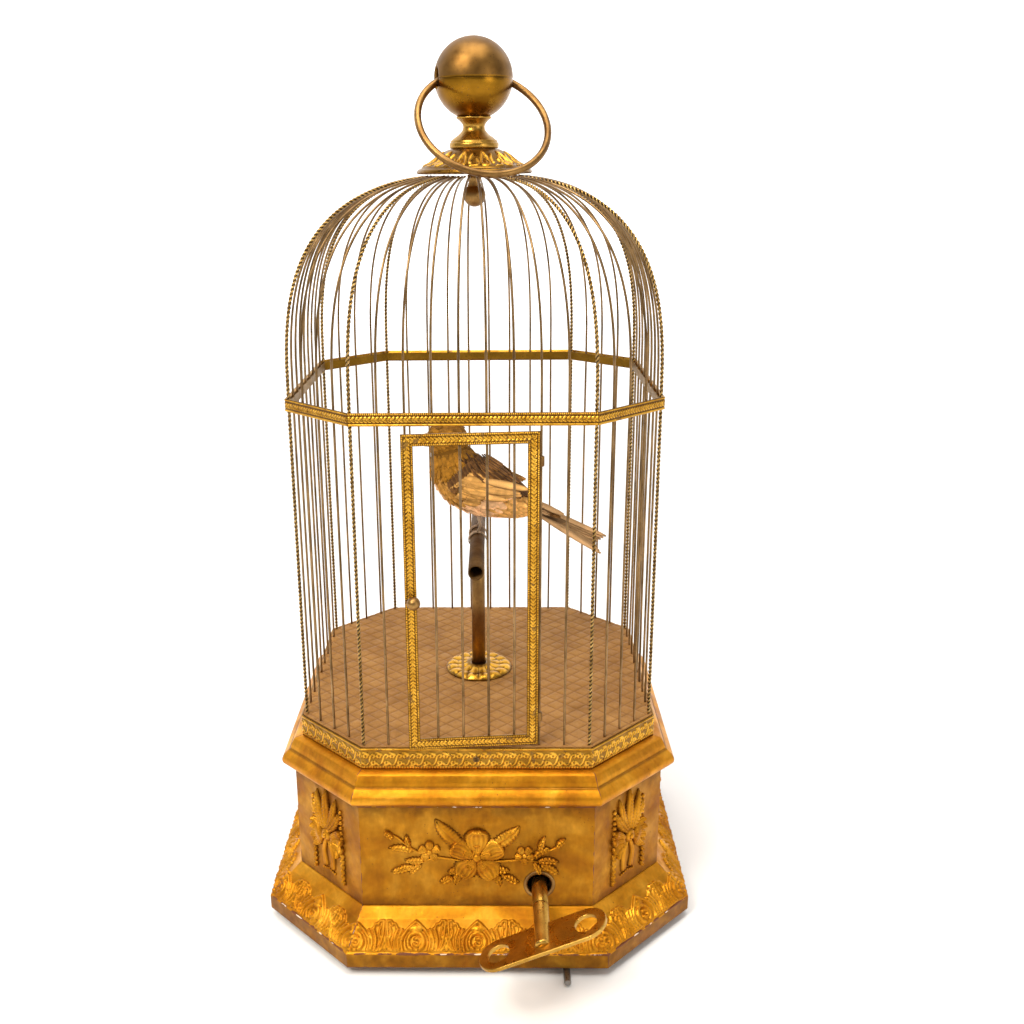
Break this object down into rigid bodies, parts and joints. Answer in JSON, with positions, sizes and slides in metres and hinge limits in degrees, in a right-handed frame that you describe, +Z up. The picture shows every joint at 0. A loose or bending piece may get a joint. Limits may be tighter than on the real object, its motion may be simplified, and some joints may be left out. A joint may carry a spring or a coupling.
{
  "type": "bird cage on stand",
  "caption": "Octagonal domed wire cage with a hinged door, ball and carrying ring, a bird on a tube perch, on a gilded wooden base that holds a wind-up movement with its key.",
  "frame": {"origin": "centre of the foot frame's sole, on the surface that the cage stands on", "axes": "+Z up, the door and the winding key on the -Y side, +X to the right when facing the door"},
  "size_m": [0.2844, 0.3294, 0.566],
  "materials": {
    "gilt_wood": "water gilding over red bole and white gesso, worn at the edges",
    "raw_wood": "unfinished softwood",
    "stamped_brass": "thin stamped brass with a dark aged ground",
    "brass": "turned brass with a worn lacquer",
    "ball_brass": "satin brass, duller and browner over the upper half",
    "aged_brass": "browned brass",
    "wire": "drawn brass wire, browned with age",
    "steel": "dull steel",
    "floor_leather": "tan embossed with a diamond pattern",
    "bellows_leather": "thin pale kid",
    "feathers": "olive-yellow and brown streaked feathers",
    "pale_feathers": "pale buff feathers",
    "horn": "dull horn"
  },
  "bodies": {
    "root": {"plinth": "gilt_wood", "frieze": "gilt_wood", "cornice": "gilt_wood", "bottom_board": "raw_wood", "foot_frame": "raw_wood", "key_hole_lining": "brass", "cage_floor": "floor_leather", "base_band": "stamped_brass", "band_screw": "steel", "mid_rail": "stamped_brass", "crown_cap": "stamped_brass", "crown_neck": "brass", "crown_ball": "ball_brass", "ball_nut": "aged_brass", "perch_rosette": "stamped_brass", "perch_post": "aged_brass", "perch_tube": "aged_brass", "bird_body": "feathers", "movement_frame": "brass", "whistle": "brass", "spray_front": "gilt_wood", "spray_right": "gilt_wood", "spray_back": "gilt_wood", "spray_left": "gilt_wood", "corner_spray_front_right": "gilt_wood", "corner_spray_back_right": "gilt_wood", "corner_spray_back_left": "gilt_wood", "corner_spray_front_left": "gilt_wood", "lower_wires_front_right": "wire", "lower_wires_right": "wire", "lower_wires_back_right": "wire", "lower_wires_back": "wire", "lower_wires_back_left": "wire", "lower_wires_left": "wire", "lower_wires_front_left": "wire", "lower_wires_door_left": "wire", "lower_wires_door_right": "wire", "dome_wires_front": "wire", "dome_wires_front_right": "wire", "dome_wires_right": "wire", "dome_wires_back_right": "wire", "dome_wires_back": "wire", "dome_wires_back_left": "wire", "dome_wires_left": "wire", "dome_wires_front_left": "wire"},
    "door": {"door": "stamped_brass"},
    "latch": {"door_latch_knob": "aged_brass"},
    "ring": {"carrying_ring": "brass"},
    "key": {"key_shaft": "aged_brass", "key_handle": "aged_brass"},
    "winding": {"winding_arbor": "steel"},
    "barrel": {"spring_barrel": "brass"},
    "cams": {"cam_arbor": "steel"},
    "fly": {"fly": "steel"},
    "head": {"bird_head": "feathers"},
    "beak": {"bird_lower_beak": "horn"},
    "tail": {"bird_tail": "pale_feathers"},
    "lever": {"stop_lever": "steel"},
    "bellows": {"bellows": "bellows_leather"}
  },
  "joints": [
    {"name": "door_swing", "type": "hinge", "parent": "root", "child": "door", "pos_m": [0.03889, -0.112, 0.247], "axis": [0, 0, 1], "range_deg": [-5, 105]},
    {"name": "latch_turn", "type": "hinge", "parent": "door", "child": "latch", "pos_m": [-0.03585, -0.12025, 0.247], "axis": [0.0872, -0.9962, 0], "range_deg": [-90, 90]},
    {"name": "ring_swing", "type": "hinge", "parent": "root", "child": "ring", "pos_m": [0, 0, 0.5418], "axis": [-0.9659, -0.2588, 0], "range_deg": [0, 276]},
    {"name": "key_turn", "type": "hinge", "parent": "root", "child": "winding", "pos_m": [0.0395, -0.086, 0.053], "axis": [0, 1, 0], "continuous": true},
    {"name": "key_pull", "type": "slide", "parent": "winding", "child": "key", "axis": [0, -1, 0], "range_m": [0, 0.045]},
    {"name": "barrel_turn", "type": "hinge", "parent": "root", "child": "barrel", "pos_m": [0.0395, -0.07, 0.053], "axis": [0, 1, 0], "continuous": true},
    {"name": "cam_turn", "type": "hinge", "parent": "root", "child": "cams", "pos_m": [0.0011, -0.07, 0.053], "axis": [0, 1, 0], "continuous": true},
    {"name": "fly_turn", "type": "hinge", "parent": "root", "child": "fly", "pos_m": [-0.0301, -0.07, 0.053], "axis": [0, 1, 0], "continuous": true},
    {"name": "stop_lever_swing", "type": "hinge", "parent": "root", "child": "lever", "pos_m": [0.0565, -0.078, 0.006], "axis": [0, 0, 1], "range_deg": [0, 12]},
    {"name": "head_turn", "type": "hinge", "parent": "root", "child": "head", "pos_m": [-0.019, 0, 0.3075], "axis": [0, 0, 1], "range_deg": [-35, 35]},
    {"name": "beak_open", "type": "hinge", "parent": "head", "child": "beak", "pos_m": [-0.03275, 0, 0.3119], "axis": [0, -1, 0], "range_deg": [0, 15], "stiffness_Nm_per_rad": 0.005, "springref_deg": -5.73},
    {"name": "tail_lift", "type": "hinge", "parent": "root", "child": "tail", "pos_m": [0.037, 0, 0.267], "axis": [0, 1, 0], "range_deg": [-8, 8], "stiffness_Nm_per_rad": 0.05},
    {"name": "bellows_pump", "type": "hinge", "parent": "root", "child": "bellows", "pos_m": [0.026, -0.002, 0.026], "axis": [0, -1, 0], "range_deg": [0, 8], "stiffness_Nm_per_rad": 0.3, "springref_deg": -6.88}
  ],
  "couplings": [
    {"joint": "cam_turn", "follows": "barrel_turn", "ratio": -3},
    {"joint": "fly_turn", "follows": "barrel_turn", "ratio": 9}
  ]
}
